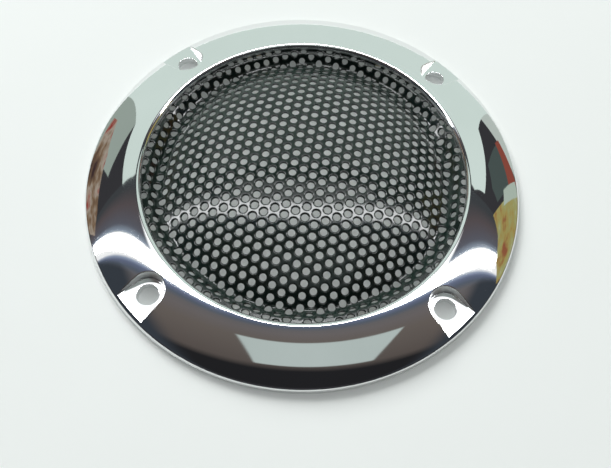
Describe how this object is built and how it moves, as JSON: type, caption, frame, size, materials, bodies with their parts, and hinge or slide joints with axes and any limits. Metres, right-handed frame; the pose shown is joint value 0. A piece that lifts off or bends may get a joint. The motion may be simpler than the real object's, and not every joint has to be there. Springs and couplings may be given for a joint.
{
  "type": "speaker grille cover",
  "caption": "Round car speaker grille cover: bright sloping trim ring with screw holes on its diagonals, round a domed black perforated steel mesh.",
  "frame": {"origin": "centre of the ring on the plane of its flat back rim, which is what it rests on and what meets the panel", "axes": "+Z is the ring's axis, out of the dome towards the listener; the four screw holes lie on the diagonals between X and Y"},
  "size_m": [0.106, 0.106, 0.0096],
  "materials": {
    "bright_plating": "mirror plating on moulded ABS",
    "black_mesh": "gloss black paint on perforated steel",
    "hot_melt": "set hot-melt adhesive"
  },
  "bodies": {
    "root": {"trim_ring": "bright_plating", "grille_mesh": "black_mesh", "adhesive_dab_1": "hot_melt", "adhesive_dab_2": "hot_melt", "adhesive_dab_3": "hot_melt", "adhesive_dab_4": "hot_melt", "adhesive_dab_5": "hot_melt", "adhesive_dab_6": "hot_melt", "adhesive_dab_7": "hot_melt", "adhesive_dab_8": "hot_melt"}
  },
  "joints": []
}
